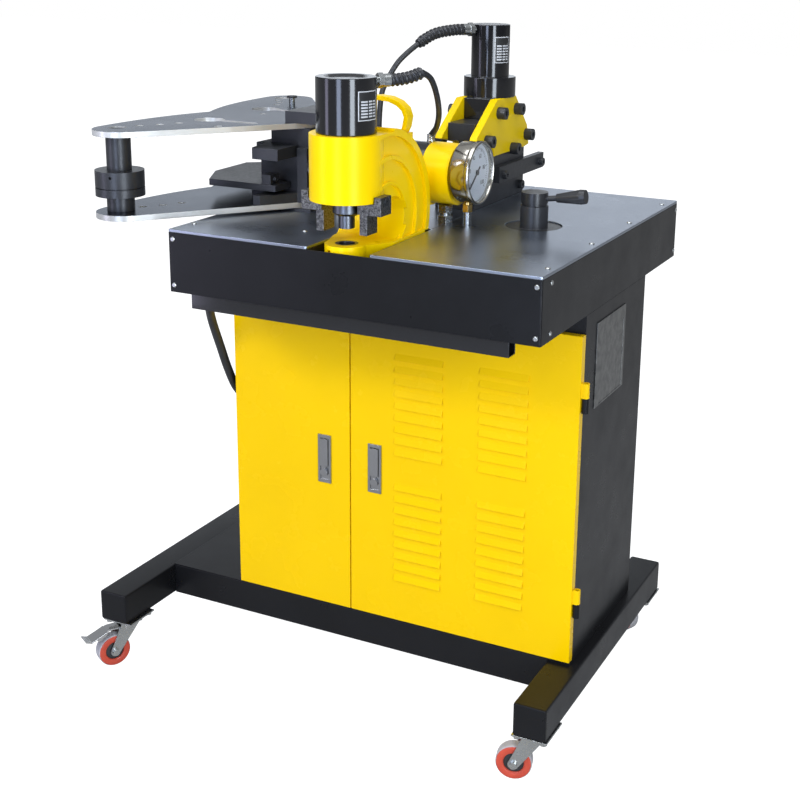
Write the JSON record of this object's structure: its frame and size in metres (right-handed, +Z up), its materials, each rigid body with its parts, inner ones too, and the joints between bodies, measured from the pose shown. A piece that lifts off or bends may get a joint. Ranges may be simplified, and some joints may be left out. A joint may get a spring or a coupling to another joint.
{
  "type": "busbar processing machine",
  "caption": "Hydraulic busbar machine with bending, punching and cutting units on a steel table over a wheeled yellow and black cabinet.",
  "frame": {"origin": "middle of the machine's outline, on the floor under its castors", "axes": "+Z up, -Y towards the operator in front of the doors, +X to the operator's right"},
  "size_m": [0.9555, 0.7214, 1.2265],
  "materials": {
    "black_paint": "satin black powder coat",
    "yellow_paint": "glossy yellow paint",
    "orange_yellow_paint": "glossy warm yellow paint",
    "zinc": "bright zinc plating",
    "polyurethane": "orange red polyurethane",
    "lock_chrome": "polished",
    "nameplate_steel": "brushed",
    "brushed_sheet": "ground sheet, fine lines",
    "black_cylinder": "gloss black paint",
    "tool_steel": "ground tool steel",
    "black_oxide": "black oxide",
    "plated_steel": "plated, bright edges",
    "gauge_chrome": "polished steel case",
    "gauge_white": "white dial",
    "gauge_black": "black pointer",
    "gauge_brass": "brass fitting",
    "lever_plastic": "black plastic grip",
    "tank_paint": "grey paint",
    "hose_rubber": "black hose rubber",
    "sleeve_plastic": "black spiral sleeve"
  },
  "bodies": {
    "base": {"foot_left": "black_paint", "foot_right": "black_paint", "crossmembers": "black_paint", "deck_plate": "black_paint", "cabinet_shell": "black_paint", "door_hinges": "black_paint", "table_skirt": "black_paint", "under_strip": "black_paint", "punch_handle": "yellow_paint", "shear_plates": "yellow_paint", "bend_housing": "yellow_paint", "punch_body": "orange_yellow_paint", "castor_plates": "zinc", "table_screws": "zinc", "gauge_pipe": "zinc", "hose_couplers": "zinc", "nameplate": "nameplate_steel", "sheet_left": "brushed_sheet", "sheet_right": "brushed_sheet", "punch_cylinder": "black_cylinder", "shear_cylinder": "black_cylinder", "bend_cylinder": "black_cylinder", "stripper": "tool_steel", "die_ring": "tool_steel", "stripper_screws": "black_oxide", "shear_bolts": "black_oxide", "shear_body": "black_oxide", "shear_guide": "black_oxide", "bend_pin": "black_oxide", "bend_head": "black_oxide", "selector_post": "black_oxide", "bend_plate_lower": "plated_steel", "bend_plate_upper": "plated_steel", "gauge_case": "gauge_chrome", "gauge_dial": "gauge_white", "gauge_stem": "gauge_brass", "power_unit": "tank_paint", "punch_hose": "hose_rubber", "shear_hose": "hose_rubber", "supply_hose": "hose_rubber", "hose_sleeves": "sleeve_plastic"},
    "fork_fl": {"castor_fork_fl": "zinc"},
    "fork_fr": {"castor_fork_fr": "zinc"},
    "fork_rl": {"castor_fork_rl": "zinc"},
    "fork_rr": {"castor_fork_rr": "zinc"},
    "wheel_fl": {"castor_wheel_fl": "polyurethane"},
    "wheel_fr": {"castor_wheel_fr": "polyurethane"},
    "wheel_rl": {"castor_wheel_rl": "polyurethane"},
    "wheel_rr": {"castor_wheel_rr": "polyurethane"},
    "brake_pedal": {"brake_pedal_fl": "zinc"},
    "door_left": {"door_left": "yellow_paint"},
    "door_right": {"door_right": "yellow_paint"},
    "lock_left": {"lock_left": "lock_chrome"},
    "lock_right": {"lock_right": "lock_chrome"},
    "punch_ram": {"punch_ram": "tool_steel"},
    "shear_ram": {"shear_ram": "black_oxide"},
    "bend_ram": {"bend_ram": "black_oxide"},
    "bend_roller": {"bend_roller": "black_oxide"},
    "selector_lever": {"selector_lever": "lever_plastic"},
    "gauge_pointer": {"gauge_pointer": "gauge_black"}
  },
  "joints": [
    {"name": "swivel_fl", "type": "hinge", "parent": "base", "child": "fork_fl", "pos_m": [-0.4123, -0.26725, 0.0885], "axis": [0, 0, 1], "continuous": true},
    {"name": "spin_fl", "type": "hinge", "parent": "fork_fl", "child": "wheel_fl", "pos_m": [-0.4303, -0.29843, 0.0315], "axis": [0.866, -0.5, 0], "continuous": true},
    {"name": "swivel_fr", "type": "hinge", "parent": "base", "child": "fork_fr", "pos_m": [0.4457, -0.27125, 0.0885], "axis": [0, 0, 1], "continuous": true},
    {"name": "spin_fr", "type": "hinge", "parent": "fork_fr", "child": "wheel_fr", "pos_m": [0.41093, -0.28057, 0.0315], "axis": [0.2588, -0.9659, 0], "continuous": true},
    {"name": "swivel_rl", "type": "hinge", "parent": "base", "child": "fork_rl", "pos_m": [-0.4173, 0.27875, 0.0885], "axis": [0, 0, 1], "continuous": true},
    {"name": "spin_rl", "type": "hinge", "parent": "fork_rl", "child": "wheel_rl", "pos_m": [-0.44679, 0.2581, 0.0315], "axis": [0.5736, -0.8192, 0], "continuous": true},
    {"name": "swivel_rr", "type": "hinge", "parent": "base", "child": "fork_rr", "pos_m": [0.4457, 0.27875, 0.0885], "axis": [0, 0, 1], "continuous": true},
    {"name": "spin_rr", "type": "hinge", "parent": "fork_rr", "child": "wheel_rr", "pos_m": [0.41281, 0.29339, 0.0315], "axis": [-0.4067, -0.9135, 0], "continuous": true},
    {"name": "brake_press", "type": "hinge", "parent": "fork_fl", "child": "brake_pedal", "pos_m": [-0.4188, -0.27851, 0.0777], "axis": [0.866, -0.5, 0], "range_deg": [0, 4]},
    {"name": "door_right_open", "type": "hinge", "parent": "base", "child": "door_right", "pos_m": [0.4632, -0.14725, 0.4605], "axis": [0, 0, 1], "range_deg": [0, 110]},
    {"name": "door_left_open", "type": "hinge", "parent": "base", "child": "door_left", "pos_m": [-0.2173, -0.14575, 0.4605], "axis": [0, 0, 1], "range_deg": [-75, 0]},
    {"name": "lock_left_lift", "type": "hinge", "parent": "door_left", "child": "lock_left", "pos_m": [-0.0323, -0.15715, 0.418], "axis": [1, 0, 0], "range_deg": [0, 60]},
    {"name": "lock_right_lift", "type": "hinge", "parent": "door_right", "child": "lock_right", "pos_m": [0.0722, -0.15715, 0.418], "axis": [1, 0, 0], "range_deg": [0, 60]},
    {"name": "punch_stroke", "type": "slide", "parent": "base", "child": "punch_ram", "axis": [0, 0, -1], "range_m": [0, 0.036]},
    {"name": "shear_stroke", "type": "slide", "parent": "base", "child": "shear_ram", "axis": [0, 0, -1], "range_m": [0, 0.028]},
    {"name": "bend_stroke", "type": "slide", "parent": "base", "child": "bend_ram", "axis": [-1, 0, 0], "range_m": [0, 0.06]},
    {"name": "roller_spin", "type": "hinge", "parent": "base", "child": "bend_roller", "pos_m": [-0.3513, -0.30625, 0.9555], "axis": [0, 0, 1], "continuous": true},
    {"name": "lever_turn", "type": "hinge", "parent": "base", "child": "selector_lever", "pos_m": [0.3047, -0.00725, 0.9405], "axis": [0, 0, 1], "range_deg": [-45, 45]},
    {"name": "pointer_turn", "type": "hinge", "parent": "base", "child": "gauge_pointer", "pos_m": [0.2147, -0.05625, 0.9885], "axis": [1, 0, 0], "range_deg": [-270, 0]}
  ]
}
